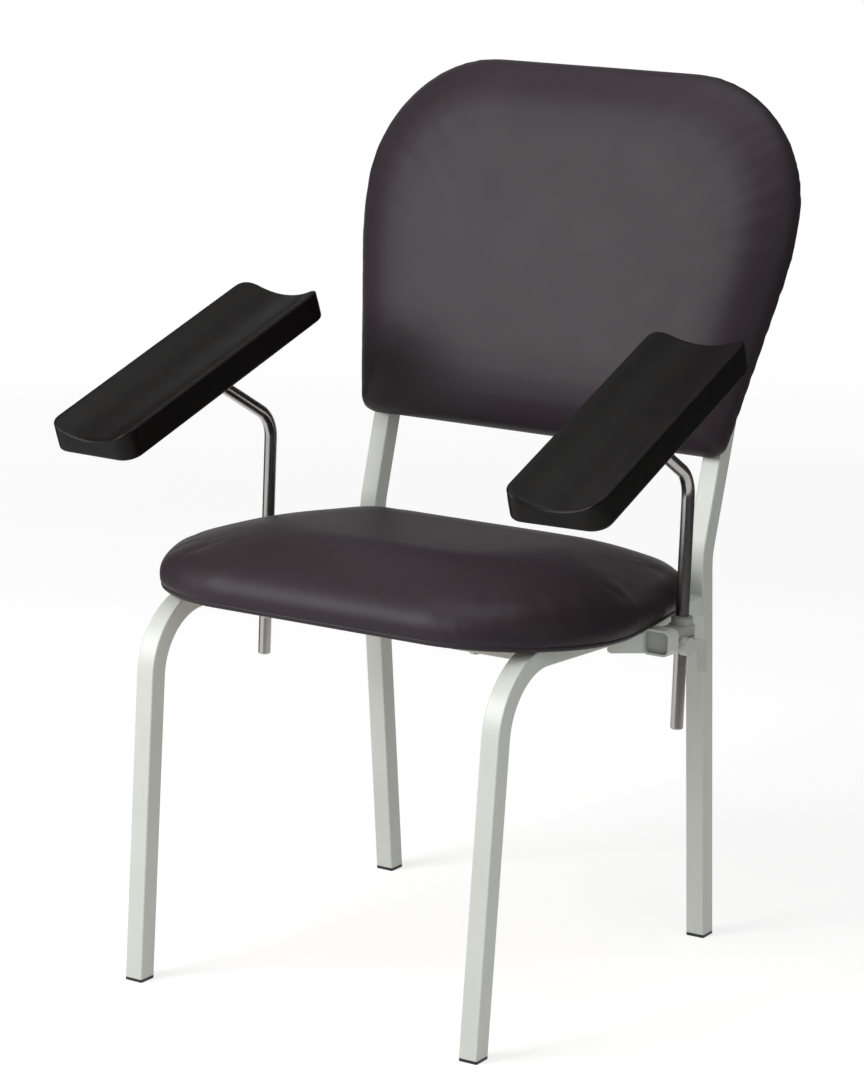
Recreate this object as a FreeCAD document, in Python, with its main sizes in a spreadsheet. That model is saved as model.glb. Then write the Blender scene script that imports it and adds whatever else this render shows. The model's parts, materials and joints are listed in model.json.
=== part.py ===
import FreeCAD, Part
import math
import os
import re
import Sketcher
from FreeCAD import Placement, Rotation, Vector

# A phlebotomy chair with two height-adjustable swinging arm rests, in millimetres.
# Origin: on the floor, below the middle of the chair's overall box.
# The chair faces -Y, Z is up. Left is -X, as seen by someone who faces the chair.

doc = FreeCAD.newDocument("phlebotomy_chair")
sheet = doc.addObject("Spreadsheet::Sheet", "sizes")

SIZES = {
    # side frames: square tube, feet, leaning angles in degrees
    "tube_side": 25.0,
    "tube_wall": 2.0,
    "tube_corner": 2.0,
    "feet_forward": 53.9,
    "side_spacing": 477.9,
    "side_yaw": 0.57,
    "side_splay": 0.68,
    "foot_spacing": 534.5,
    "front_rake": 5.08,
    "rear_rake": 4.08,
    "seat_tilt": 3.0,
    "rail_height": 435.7,
    "leg_bend": 90.0,
    "kink_above": 62.7,
    "kink_bend": 90.0,
    "back_rake": 16.8,
    "upright_length": 425.0,
    "foot_flange": 4.0,
    "insert_depth": 18.0,
    "insert_gap": 0.15,
    "plug_head": 3.0,
    "overrun": 5.0,
    # cross tubes below the seat, between the side frames
    "cross_front_inset": 137.25,
    "cross_rear_inset": 117.25,
    "cross_gap": 0.05,
    # seat, in the tilted frame of the rails; its corners and shoulder are shares of its depth
    "seat_gap": 0.25,
    "seat_front_inset": 25.25,
    "seat_rear_inset": 59.25,
    "seat_front_half": 353.0,
    "seat_rear_half": 262.0,
    "seat_front_round_share": 0.3822,
    "seat_rear_round_share": 0.1956,
    "seat_shoulder_share": 0.0489,
    "seat_thickness": 82.0,
    "board_thickness": 12.0,
    "board_inset": 12.0,
    "soft_gap": 0.3,
    # backrest, measured up the raked uprights from the kink
    "back_bottom": 119.0,
    "back_top": 589.0,
    "back_flare": 11.0,
    "back_top_half": 314.0,
    "back_bottom_radius": 20.0,
    "back_side_radius": 400.0,
    "back_top_radius": 172.0,
    "back_thickness": 50.0,
    "back_shoulder": 22.0,
    "back_gap": 0.45,
    # screws and tee nuts, M6 for seat and back
    "screw_radius": 3.0,
    "screw_hole": 3.3,
    "head_radius": 6.0,
    "head_height": 3.5,
    "nut_bore": 3.35,
    "nut_barrel": 4.0,
    "nut_barrel_hole": 4.1,
    "nut_flange_radius": 9.0,
    "nut_flange": 1.2,
    "seat_screw_span": 300.0,
    "back_screw_low": 185.0,
    "back_screw_high": 385.0,
    # arm support: rod, its bush and the clamp that holds it
    "rod_radius": 8.0,
    "rod_offset": 60.6,
    "rod_station": 82.7,
    "rod_below": 106.0,
    "rod_above": 199.0,
    "rod_bend": 40.0,
    "rod_turn": 63.0,
    "rod_arm": 175.0,
    "rod_chamfer": 1.5,
    "arm_toe": 2.93,
    "bush_wall": 2.0,
    "bush_flange": 2.0,
    "bush_flange_width": 2.0,
    "running_gap": 0.05,
    "block_half_width": 16.0,
    "block_bottom": -4.0,
    "block_top": 21.7,
    "block_length": 62.0,
    "block_recess": 6.0,
    "block_corner": 6.0,
    "boss_radius": 13.0,
    "boss_bottom": -7.0,
    "boss_top": 30.0,
    "slit": 2.0,
    "slit_reach": 36.0,
    "slit_height": 9.0,
    "relief_radius": 2.5,
    "sleeve_wall": 2.5,
    "sleeve_gap": 0.3,
    "sleeve_length": 22.0,
    "gusset": 3.0,
    "gusset_face": 4.5,
    "gusset_reach": 30.0,
    "gusset_bottom": -6.0,
    "gusset_top": 18.0,
    "gusset_chamfer": 3.0,
    # clamp lever and its stud
    "stud_radius": 4.0,
    "stud_station": 26.0,
    "stud_height": 2.0,
    "stud_gap": 0.1,
    "nut_half_flats": 6.5,
    "nut_thickness": 6.5,
    "stud_tail": 2.0,
    "hub_radius": 11.0,
    "hub_gap": 0.4,
    "hub_length": 11.0,
    "lever_thickness": 7.0,
    "lever_width": 12.0,
    "lever_knee_y": 35.0,
    "lever_knee_z": -3.0,
    "lever_tip_y": 37.0,
    "lever_tip_z": -37.0,
    # arm pad, its board and the plate welded on the rod
    "pad_length": 397.0,
    "pad_width": 127.0,
    "pad_height": 39.0,
    "pad_corner": 22.0,
    "pad_edge": 5.0,
    "pad_forward": 153.7,
    "pad_up": 260.6,
    "pad_tilt": 22.2,
    "trough_depth": 16.5,
    "trough_width": 112.0,
    "arm_board_inset": 5.0,
    "plate_length": 110.0,
    "plate_width": 60.0,
    "plate_thickness": 3.0,
    "plate_corner": 8.0,
    "plate_back": 20.0,
    "arm_screw_radius": 2.5,
    "arm_screw_gap": 0.1,
    "arm_screw_length": 10.0,
    "arm_screw_head": 4.5,
    "arm_screw_head_height": 2.5,
    "arm_screw_inset": 9.0,
}

for row, (alias, value) in enumerate(SIZES.items(), start=1):
    sheet.set(f"A{row}", alias)
    sheet.set(f"B{row}", str(value))
    sheet.setAlias(f"B{row}", alias)
doc.recompute()


def size(alias):
    return float(sheet.get(alias))


def bound(expression):
    """Put the sheet's name before every size in an expression."""
    return re.sub(r"[a-z_]+", lambda word: "sizes." + word[0] if word[0] in SIZES else word[0], expression)


def bind(target, prop, expression):
    target.setExpression(prop, bound(expression))


# Frames that the pieces are placed in

SIDES = (("left", -1), ("right", 1))
AXIS_X, AXIS_Y, AXIS_Z = Vector(1, 0, 0), Vector(0, 1, 0), Vector(0, 0, 1)


def shift(x, y, z):
    return Placement(Vector(x, y, z), Rotation())


def turn(axis, angle):
    return Placement(Vector(), Rotation(axis, angle))


def feet_frame():
    """Floor level, midway between the four feet."""
    return shift(0, -size("feet_forward"), 0)


def side_frame(sign):
    """Floor level, midway between the front and the rear foot of one side."""
    place = feet_frame() * shift(sign * size("side_spacing") / 2, 0, 0)
    return place * turn(AXIS_Z, sign * size("side_yaw")) * turn(AXIS_Y, sign * size("side_splay"))


def tangent(alias):
    return math.tan(math.radians(size(alias)))


def rail_level(y):
    """Height of the rails' lower face."""
    return size("rail_height") - tangent("seat_tilt") * y


def seat_frame():
    """At the rails' lower faces, Z square to the seat."""
    return feet_frame() * shift(0, 0, size("rail_height")) * turn(AXIS_X, -size("seat_tilt"))


def kink_level():
    return size("rail_height") + size("kink_above")


def kink_y():
    return size("foot_spacing") / 2 - tangent("rear_rake") * kink_level()


def raked(axis_angle):
    """From a frame at floor level to the uprights' kink, turned about X."""
    return shift(0, kink_y(), kink_level()) * turn(AXIS_X, axis_angle)


def back_frame():
    """Origin at the kinks, Y up the rake, Z square to the backrest, to the front."""
    return feet_frame() * raked(90 - size("back_rake"))


def arm_frame(sign):
    """On the rod's axis at the level of the rail's lower face, Z up the rod."""
    y = size("rod_station")
    place = side_frame(sign) * shift(sign * size("rod_offset"), y, rail_level(y))
    return place * turn(AXIS_Y, -sign * size("side_splay")) * turn(AXIS_X, -size("seat_tilt"))


def swung_frame(sign):
    return arm_frame(sign) * turn(AXIS_Z, sign * size("arm_toe"))


def pad_frame(sign):
    """Centre of the arm pad's underside, front end towards -Y."""
    place = swung_frame(sign) * shift(0, -size("pad_forward"), size("pad_up"))
    return place * turn(AXIS_X, size("pad_tilt"))


# Building blocks

parts = []


def new_body(name, placement):
    body = doc.addObject("PartDesign::Body", name)
    body.Label = name
    body.Placement = placement
    parts.append(body)
    return body


def new_sketch(body, plane, offset=None, at=("0", "0", "0")):
    sketch = body.newObject("Sketcher::SketchObject", body.Name + "_sketch")
    origin = [item for item in body.Origin.OriginFeatures if item.Role == plane + "_Plane"][0]
    sketch.AttachmentSupport = [(origin, "")]
    sketch.MapMode = "FlatFace"
    sketch.AttachmentOffset = offset or Placement()
    for axis, expression in zip("xyz", at):
        if expression != "0":
            bind(sketch, f"AttachmentOffset.Base.{axis}", expression)
    return sketch


def dimension(sketch, expression, *constraint):
    index = sketch.addConstraint(Sketcher.Constraint(*constraint))
    bind(sketch, f"Constraints[{index}]", expression)


def circle(sketch, radius):
    sketch.addGeometry(Part.Circle(Vector(), AXIS_Z, 1))
    sketch.addConstraint(Sketcher.Constraint("Coincident", 0, 3, -1, 1))
    dimension(sketch, radius, "Radius", 0, 1)
    return sketch


def closed_lines(sketch, corners):
    """A closed outline whose corners are pairs of expressions."""
    count = len(corners)
    turns = [2 * math.pi * i / count for i in range(count)]
    ring = [Vector(math.cos(angle), math.sin(angle), 0) for angle in turns]
    for i in range(count):
        sketch.addGeometry(Part.LineSegment(ring[i], ring[(i + 1) % count]))
    for i in range(count):
        sketch.addConstraint(Sketcher.Constraint("Coincident", i, 2, (i + 1) % count, 1))
    for i, (x, y) in enumerate(corners):
        dimension(sketch, x, "DistanceX", -1, 1, i, 1, ring[i].x)
        dimension(sketch, y, "DistanceY", -1, 1, i, 1, ring[i].y)
    return sketch


def rectangle(sketch, width, height):
    left, right, low, high = f"-({width})/2", f"({width})/2", f"-({height})/2", f"({height})/2"
    return closed_lines(sketch, [(left, low), (right, low), (right, high), (left, high)])


def bend_path(sketch, start, end, angles, radius, numbers):
    """Straight, arc, straight. Numbers are the start, the end and the corner of the straights."""
    first, last, corner = [Vector(*point, 0) for point in numbers]
    before, after = (first - corner).normalize(), (last - corner).normalize()
    half = before.getAngle(after) / 2
    reach = size(radius) / math.tan(half)
    near, far = corner + before * reach, corner + after * reach
    centre = corner + (before + after).normalize() * (size(radius) / math.sin(half))
    turns_left = before.cross(after).z < 0
    begin = near if turns_left else far
    angle = math.atan2(begin.y - centre.y, begin.x - centre.x)
    ring = Part.Circle(centre, AXIS_Z, size(radius))
    sketch.addGeometry(Part.LineSegment(first, near))
    sketch.addGeometry(Part.ArcOfCircle(ring, angle, angle + math.pi - 2 * half))
    sketch.addGeometry(Part.LineSegment(far, last))
    one, two = (1, 2) if turns_left else (2, 1)
    sketch.addConstraint(Sketcher.Constraint("Tangent", 0, 2, 1, one))
    sketch.addConstraint(Sketcher.Constraint("Tangent", 1, two, 2, 1))
    dimension(sketch, radius, "Radius", 1, size(radius))
    for line, angle, along in ((0, angles[0], near - first), (2, angles[1], last - far)):
        dimension(sketch, angle, "Angle", line, math.atan2(along.y, along.x))
    for line, point, place, at in ((0, 1, start, first), (2, 2, end, last)):
        dimension(sketch, place[0], "DistanceX", -1, 1, line, point, at.x)
        dimension(sketch, place[1], "DistanceY", -1, 1, line, point, at.y)
    return sketch


def pad(body, sketch, length, symmetric=False, backwards=False):
    feature = body.newObject("PartDesign::Pad", body.Name + "_pad")
    feature.Profile = sketch
    feature.SideType = "Symmetric" if symmetric else "One side"
    feature.Reversed = backwards
    bind(feature, "Length", length)
    return feature


def pocket(body, sketch, length, symmetric=False, backwards=False):
    feature = body.newObject("PartDesign::Pocket", body.Name + "_pocket")
    feature.Profile = sketch
    feature.SideType = "Symmetric" if symmetric else "One side"
    feature.Reversed = backwards
    bind(feature, "Length", length)
    doc.recompute()


def pipe(body, kind, profile, path):
    feature = body.newObject("PartDesign::" + kind, body.Name + "_pipe")
    feature.Profile = profile
    feature.Spine = path


def dress(body, kind, prop, expression, wanted):
    """Fillet or chamfer the edges of the tip that the test picks."""
    doc.recompute()
    tip = body.Tip
    names = [f"Edge{i}" for i, edge in enumerate(tip.Shape.Edges, start=1) if wanted(edge)]
    feature = body.newObject("PartDesign::" + kind, body.Name + "_" + kind.lower())
    feature.Base = (tip, names)
    bind(feature, prop, expression)
    doc.recompute()


def round_edges(body, expression, wanted):
    dress(body, "Fillet", "Radius", expression, wanted)


def runs_along(edge, axis):
    if len(edge.Vertexes) != 2:
        return False
    along = edge.Vertexes[1].Point - edge.Vertexes[0].Point
    return along.Length > 0 and along.normalize().cross(axis).Length < 1e-6


FIRST_CORNER_SHARE = 0.3


def rounded_rectangle(sketch, width, height, radius):
    half, corner = 1, FIRST_CORNER_SHARE
    flat = half - corner
    ends = [((-flat, -half), (flat, -half)), ((half, -flat), (half, flat)),
            ((flat, half), (-flat, half)), ((-half, flat), (-half, -flat))]
    for first, last in ends:
        sketch.addGeometry(Part.LineSegment(Vector(*first, 0), Vector(*last, 0)))
    centres = [(flat, -flat), (flat, flat), (-flat, flat), (-flat, -flat)]
    for i, centre in enumerate(centres):
        begin = (i - 1) * math.pi / 2
        ring = Part.Circle(Vector(*centre, 0), AXIS_Z, corner)
        sketch.addGeometry(Part.ArcOfCircle(ring, begin, begin + math.pi / 2))
    for i in range(4):
        sketch.addConstraint(Sketcher.Constraint("Tangent", i, 2, 4 + i, 1))
        sketch.addConstraint(Sketcher.Constraint("Tangent", 4 + i, 2, (i + 1) % 4, 1))
        sketch.addConstraint(Sketcher.Constraint("Vertical" if i % 2 else "Horizontal", i))
    for i in range(5, 8):
        sketch.addConstraint(Sketcher.Constraint("Equal", 4, i))
    dimension(sketch, radius, "Radius", 4, corner)
    dimension(sketch, f"({width}) - 2*({radius})", "DistanceX", 7, 3, 4, 3, 2 * flat)
    dimension(sketch, f"({height}) - 2*({radius})", "DistanceY", 4, 3, 5, 3, 2 * flat)
    sketch.addConstraint(Sketcher.Constraint("Symmetric", 7, 3, 5, 3, -1, 1))
    return sketch


def circles(sketch, places, radius):
    """Equal circles whose centres are pairs of expressions."""
    for i, (x, y) in enumerate(places):
        sketch.addGeometry(Part.Circle(Vector(i + 1, i + 1, 0), AXIS_Z, 1))
        dimension(sketch, x, "DistanceX", -1, 1, i, 3, i + 1)
        dimension(sketch, y, "DistanceY", -1, 1, i, 3, i + 1)
        dimension(sketch, radius, "Radius", i, 1)
    return sketch


def round_bar(radius, low, high, hole=0):
    """A round bar or ring along Z, from one level to another."""
    bar = Part.makeCylinder(radius, high - low, Vector(0, 0, low))
    return bar.cut(Part.makeCylinder(hole, high - low, Vector(0, 0, low))) if hole else bar


def shaped(name, shape, placement):
    node = doc.addObject("Part::Feature", name)
    node.Label = name
    node.Shape = shape
    node.Placement = placement
    parts.append(node)


def group(name, shape, placements):
    """Equal fasteners as separate solids in one node."""
    copies = [shape.transformed(place.toMatrix()) for place in placements]
    shaped(name, Part.makeCompound(copies), Placement())


def rounded_outline(corners, radii, level):
    """A closed wire of lines and arcs through rounded corners, at one level."""
    count = len(corners)
    points = [Vector(*corner, level) for corner in corners]
    near, middle, far = [], [], []
    for i in range(count):
        before = (points[i - 1] - points[i]).normalize()
        after = (points[(i + 1) % count] - points[i]).normalize()
        half = before.getAngle(after) / 2
        inward = (before + after).normalize()
        centre = points[i] + inward * (radii[i] / math.sin(half))
        near.append(points[i] + before * (radii[i] / math.tan(half)))
        far.append(points[i] + after * (radii[i] / math.tan(half)))
        middle.append(centre - inward * radii[i])
    edges = []
    for i in range(count):
        edges.append(Part.Arc(near[i], middle[i], far[i]).toShape())
        edges.append(Part.LineSegment(far[i], near[(i + 1) % count]).toShape())
    return Part.Wire(edges)


# How the cushions draw in: a share of the thickness, with the share of the
# shoulder that the outline is moved in there
SEAT_SHARES = ((0.0, 0.18), (0.05, 0.05), (0.15, 0.0), (0.25, 0.03), (0.34, 0.12), (0.42, 0.27), (0.49, 0.47),
               (0.56, 0.77), (0.62, 1.15), (0.72, 2.05), (0.83, 3.2), (0.93, 4.5), (0.985, 5.5), (1.0, 6.2))
BACK_SHARES = ((0.0, 0.35), (0.06, 0.1), (0.18, 0.0), (0.38, 0.1), (0.56, 0.38), (0.7, 0.9),
               (0.86, 1.75), (0.95, 2.7), (1.0, 4.2))
CORNER_FOLLOW_SHARE = 0.55
LOW_CORNER_FOLLOW_SHARE = 0.2


def cushion(outline, shoulder, thickness, shares):
    """A crowned loft. The outline is a function of how far it is moved in."""
    rings = []
    for level, draw in shares:
        corners, radii = outline(draw * shoulder)
        rings.append(rounded_outline(corners, radii, level * thickness))
    return Part.makeLoft(rings, True, True)


SEAT_DEPTH = "(foot_spacing - seat_front_inset - seat_rear_inset)"


def seat_depth():
    return size("foot_spacing") - size("seat_front_inset") - size("seat_rear_inset")


def seat_outline(inset, even=False):
    """Corners and radii moved in, drawn rounder than an even offset unless asked."""
    front, rear = size("seat_front_half") - inset, size("seat_rear_half") - inset
    low = inset + size("seat_front_inset") - size("foot_spacing") / 2
    high = size("foot_spacing") / 2 - size("seat_rear_inset") - inset
    follow = inset if even else CORNER_FOLLOW_SHARE * inset
    near = seat_depth() * size("seat_front_round_share") - follow
    far = seat_depth() * size("seat_rear_round_share") - follow
    return [(-front, low), (front, low), (rear, high), (-rear, high)], [near, near, far, far]


def back_outline(inset, even=False):
    wide = size("back_top_half") - inset
    top, bottom = size("back_top") - inset, size("back_bottom") + inset
    follow = inset if even else CORNER_FOLLOW_SHARE * inset
    small = size("back_bottom_radius") + (0 if even else LOW_CORNER_FOLLOW_SHARE * inset)
    side, large = size("back_side_radius"), size("back_top_radius") - follow
    turned = math.tan(math.radians(size("back_flare") / 2))
    bend = top - large - side * turned - size("overrun")
    low = wide - (bend - bottom) * tangent("back_flare")
    corners = [(-low, bottom), (low, bottom), (wide, bend), (wide, top), (-wide, top), (-wide, bend)]
    return corners, [small, small, side, large, large, side]


# Side frames: a bent front leg with its rail, and a raked rear upright

KINK_LEVEL = "(rail_height + kink_above)"
KINK_Y = f"(foot_spacing/2 - tan(rear_rake)*{KINK_LEVEL})"
FRONT_FACE = "(foot_spacing/2 - tan(rear_rake)*({level}) - tube_side/2/cos(rear_rake))"


def tube_profiles(body, sign, place, rake):
    """Outer and inner outline of a tube that stands level on its foot."""
    level = Placement(Vector(), Rotation(AXIS_Y, -sign * size("side_splay")))
    outer = new_sketch(body, "XY", level, ("0", place, "foot_flange"))
    rounded_rectangle(outer, "tube_side", f"tube_side/cos({rake})", "tube_corner")
    inner = new_sketch(body, "XY", level, ("0", place, "foot_flange"))
    rectangle(inner, "tube_side - 2*tube_wall", f"tube_side/cos({rake}) - 2*tube_wall")
    return outer, inner


def side_tube(name, sign):
    body = new_body(name, side_frame(sign))
    foot = -size("foot_spacing") / 2
    rake, tilt = tangent("front_rake"), tangent("seat_tilt")
    axis = size("rail_height") + size("tube_side") / 2 / math.cos(math.radians(size("seat_tilt")))
    corner_y = (foot + rake * axis) / (1 + rake * tilt)
    corner = (corner_y, axis - tilt * corner_y)
    first = (foot + rake * size("foot_flange"), size("foot_flange"))
    last_y = size("foot_spacing") / 2 - tangent("rear_rake") * size("rail_height")
    start = ("-foot_spacing/2 + tan(front_rake)*foot_flange", "foot_flange")
    end_y = "(foot_spacing/2 - tan(rear_rake)*rail_height)"
    end = (end_y, f"rail_height + tube_side/2/cos(seat_tilt) - tan(seat_tilt)*{end_y}")
    path = new_sketch(body, "YZ")
    bend_path(path, start, end, ("90 - front_rake", "-seat_tilt"), "leg_bend",
              (first, (last_y, axis - tilt * last_y), corner))
    outer, inner = tube_profiles(body, sign, start[0], "front_rake")
    doc.recompute()
    pipe(body, "AdditivePipe", outer, path)
    pipe(body, "SubtractivePipe", inner, path)
    levels = ("rail_height - 2*tube_side", "rail_height + 2*tube_side")
    low, high = [(FRONT_FACE.format(level=level), level) for level in levels]
    beyond = [low, (low[0] + " + 3*tube_side", low[1]), (high[0] + " + 3*tube_side", high[1]), high]
    pocket(body, closed_lines(new_sketch(body, "YZ"), beyond), "tube_side + 2*overrun", symmetric=True)


def rear_upright(name, sign):
    body = new_body(name, side_frame(sign))
    rake, length = math.radians(size("back_rake")), size("upright_length") + size("overrun")
    first_y = size("foot_spacing") / 2 - tangent("rear_rake") * size("foot_flange")
    corner = (kink_y(), kink_level())
    last = (corner[0] + math.sin(rake) * length, corner[1] + math.cos(rake) * length)
    start = ("foot_spacing/2 - tan(rear_rake)*foot_flange", "foot_flange")
    beyond = "(upright_length + overrun)"
    end = (f"{KINK_Y} + sin(back_rake)*{beyond}", f"{KINK_LEVEL} + cos(back_rake)*{beyond}")
    path = new_sketch(body, "YZ")
    bend_path(path, start, end, ("90 + rear_rake", "90 - back_rake"), "kink_bend",
              ((first_y, size("foot_flange")), last, corner))
    outer, inner = tube_profiles(body, sign, start[0], "rear_rake")
    doc.recompute()
    pipe(body, "AdditivePipe", outer, path)
    pipe(body, "SubtractivePipe", inner, path)
    square = Placement(Vector(), Rotation(AXIS_Z, -size("back_rake")))
    above = closed_lines(new_sketch(body, "YZ", square, (KINK_Y, KINK_LEVEL, "0")), [
        ("-tube_side", "upright_length"), ("tube_side", "upright_length"),
        ("tube_side", "upright_length + 2*overrun"), ("-tube_side", "upright_length + 2*overrun")])
    pocket(body, above, "2*tube_side", symmetric=True)
    slope = Placement(Vector(), Rotation(AXIS_X, -size("back_rake")))
    holes = new_sketch(body, "XZ", slope, ("0", KINK_LEVEL, f"-{KINK_Y}"))
    circles(holes, [("0", "back_screw_low"), ("0", "back_screw_high")], "screw_hole")
    pocket(body, holes, "2*tube_side", symmetric=True)


def foot_insert(name, sign, end, rake):
    """A moulded foot: a level flange and a stem that follows the leg's lean."""
    place = side_frame(sign) * shift(0, end * size("foot_spacing") / 2, 0)
    body = new_body(name, place * turn(AXIS_Y, -sign * size("side_splay")))
    lean = f"{-end}*tan({rake})"
    at = (f"{sign}*tan(side_splay)*foot_flange", lean + "*foot_flange", "0")
    flange = new_sketch(body, "XY", None, at)
    rounded_rectangle(flange, "tube_side", f"tube_side/cos({rake})", "tube_corner")
    pad(body, flange, "foot_flange")
    at = (at[0], at[1], "foot_flange")
    inner = "tube_side - 2*tube_wall - 2*insert_gap"
    stem = pad(body, rectangle(new_sketch(body, "XY", None, at), inner, inner), "insert_depth")
    stem.UseCustomVector = True
    stem.Direction = Vector(sign * tangent("side_splay"), -end * tangent(rake), 1)


def upright_plug(name, sign):
    body = new_body(name, side_frame(sign) * raked(-size("back_rake")))
    head = rounded_rectangle(new_sketch(body, "XY", None, ("0", "0", "upright_length")),
                             "tube_side", "tube_side", "tube_corner")
    pad(body, head, "plug_head")
    inner = "tube_side - 2*tube_wall - 2*insert_gap"
    stem = rectangle(new_sketch(body, "XY", None, ("0", "0", "upright_length")), inner, inner)
    pad(body, stem, "insert_depth", backwards=True)


CROSS_PLACES = {"front": "(cross_front_inset - foot_spacing/2)",
                "rear": "(foot_spacing/2 - cross_rear_inset)"}


def cross_station(end):
    inward = size("foot_spacing") / 2 - size(f"cross_{end}_inset")
    return inward if end == "rear" else -inward


def cross_tube(name, end):
    """Runs between the rails and carries the seat's screws."""
    body = new_body(name, seat_frame() * shift(0, cross_station(end), 0))
    station = CROSS_PLACES[end]
    level = f"(rail_height - tan(seat_tilt)*{station})"
    half = (f"side_spacing/2 + tan(side_splay)*{level} - tan(side_yaw)*({station} + tube_side/2)"
            " - tube_side/2 - cross_gap")
    at = ("0", "tube_side/2", "0")
    outer = rounded_rectangle(new_sketch(body, "YZ", None, at), "tube_side", "tube_side", "tube_corner")
    pad(body, outer, f"2*({half})", symmetric=True)
    inner = new_sketch(body, "YZ", None, at)
    rectangle(inner, "tube_side - 2*tube_wall", "tube_side - 2*tube_wall")
    pocket(body, inner, f"2*({half}) + 2*overrun", symmetric=True)
    holes = new_sketch(body, "XY")
    circles(holes, [("-seat_screw_span/2", "0"), ("seat_screw_span/2", "0")], "screw_hole")
    pocket(body, holes, "4*tube_side", symmetric=True)


# Seat and backrest

def board(name, frame, corners, radii, holes, low):
    """A flat board with rounded corners and holes for its tee nuts."""
    body = new_body(name, frame)
    at = ("0", "0", low)
    pad(body, closed_lines(new_sketch(body, "XY", None, at), corners), "board_thickness")
    for expression, wanted in radii:
        round_edges(body, expression, lambda edge: runs_along(edge, AXIS_Z) and wanted(edge.Vertexes[0]))
    sketch = circles(new_sketch(body, "XY", None, at), holes, "nut_barrel_hole")
    pocket(body, sketch, "4*board_thickness", symmetric=True)


def seat_board(name):
    front, rear = "(seat_front_half - board_inset)", "(seat_rear_half - board_inset)"
    low = "(board_inset + seat_front_inset - foot_spacing/2)"
    high = "(foot_spacing/2 - seat_rear_inset - board_inset)"
    corners = [("-" + front, low), (front, low), (rear, high), ("-" + rear, high)]
    holes = [(f"{side}*seat_screw_span/2", place) for side in (-1, 1) for place in CROSS_PLACES.values()]
    radii = ((f"seat_front_round_share*{SEAT_DEPTH} - board_inset", lambda corner: corner.Y < 0),
             (f"seat_rear_round_share*{SEAT_DEPTH} - board_inset", lambda corner: corner.Y > 0))
    board(name, seat_frame(), corners, radii, holes, "tube_side + seat_gap")


UPRIGHT_X = ("(side_spacing/2 + tan(side_splay)*(" + KINK_LEVEL + " + cos(back_rake)*{station})"
             " - tan(side_yaw)*(" + KINK_Y + " + sin(back_rake)*{station}))")


BACK_BEND = "(back_top - back_top_radius - back_side_radius*tan(back_flare/2) - overrun)"


def back_board(name):
    wide, bottom = "(back_top_half - board_inset)", "(back_bottom + board_inset)"
    top = "(back_top - board_inset)"
    low = f"({wide} - ({BACK_BEND} - {bottom})*tan(back_flare))"
    corners = [("-" + low, bottom), (low, bottom), (wide, BACK_BEND), (wide, top),
               ("-" + wide, top), ("-" + wide, BACK_BEND)]
    holes = [(f"{side}*{UPRIGHT_X.format(station=station)}", station)
             for side in (-1, 1) for station in ("back_screw_low", "back_screw_high")]
    lowest, highest = size("back_bottom") + size("board_inset"), size("back_top") - size("board_inset")
    near, below = size("overrun"), highest - size("back_top_radius")
    radii = (("back_top_radius - board_inset", lambda corner: corner.Y > highest - near),
             ("back_side_radius", lambda corner: lowest + near < corner.Y < below),
             ("back_bottom_radius", lambda corner: corner.Y < lowest + near))
    board(name, back_frame(), corners, radii, holes, "tube_side/2 + back_gap")


def padded(name, frame, outline, shoulder, thickness, shares, low):
    """A cushion whose cavity takes its board, drawn round the board's edge."""
    form = cushion(outline, shoulder, thickness, shares)
    corners, radii = outline(size("board_inset") - size("soft_gap"), even=True)
    cavity = Part.Face(rounded_outline(corners, radii, -size("overrun")))
    depth = size("board_thickness") + size("nut_flange") + size("soft_gap")
    form = form.cut(cavity.extrude(Vector(0, 0, depth + size("overrun"))))
    shaped(name, form, frame * shift(0, 0, low))


def seat_level():
    return size("tube_side") + size("seat_gap")


def back_level():
    return size("tube_side") / 2 + size("back_gap")


SOCKET_WIDTH_SHARE = 0.385
SOCKET_DEPTH_SHARE = 0.55


def hexagon(radius, low, high):
    corners = [turn(AXIS_Z, angle).multVec(Vector(radius, 0, low)) for angle in range(0, 361, 60)]
    return Part.Face(Part.makePolygon(corners)).extrude(Vector(0, 0, high - low))


def screw(radius, length, head_radius, head_height):
    """Head below zero, with a hexagon socket, and shank above."""
    whole = round_bar(head_radius, -head_height, 0).fuse(round_bar(radius, 0, length))
    width, depth = head_radius * SOCKET_WIDTH_SHARE, head_height * SOCKET_DEPTH_SHARE
    return whole.cut(hexagon(width, -head_height - size("overrun"), depth - head_height))


def tee_nut():
    """Flange on top of the board, barrel down into it. Zero is the board's face."""
    reach, bore = size("board_thickness") - size("nut_flange"), size("nut_bore")
    flange = round_bar(size("nut_flange_radius"), 0, size("nut_flange"), bore)
    return flange.fuse(round_bar(size("nut_barrel"), -reach, 0, bore))


def seat_places(level):
    half = size("seat_screw_span") / 2
    return [seat_frame() * shift(x, cross_station(end), level) for x in (-half, half) for end in CROSS_PLACES]


def upright_place(sign, station):
    """On an upright's axis at a station above the kink, Z to the front."""
    return side_frame(sign) * raked(90 - size("back_rake")) * shift(0, size(station), 0)


def back_places(level=None):
    """Screw places on the uprights, or their places on the board at a level."""
    stations = ("back_screw_low", "back_screw_high")
    places = [upright_place(sign, station) for side, sign in SIDES for station in stations]
    if level is None:
        return [place * shift(0, 0, -size("tube_side") / 2) for place in places]
    at = [back_frame().inverse().multVec(place.Base) for place in places]
    return [back_frame() * shift(point.x, point.y, level) for point in at]


# Arm supports: bracket, clamp block, bush, rod, lever and pad

RAIL_FACE = "(rod_offset - tube_side/2 - tan(side_splay)*gusset_top)"


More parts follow.
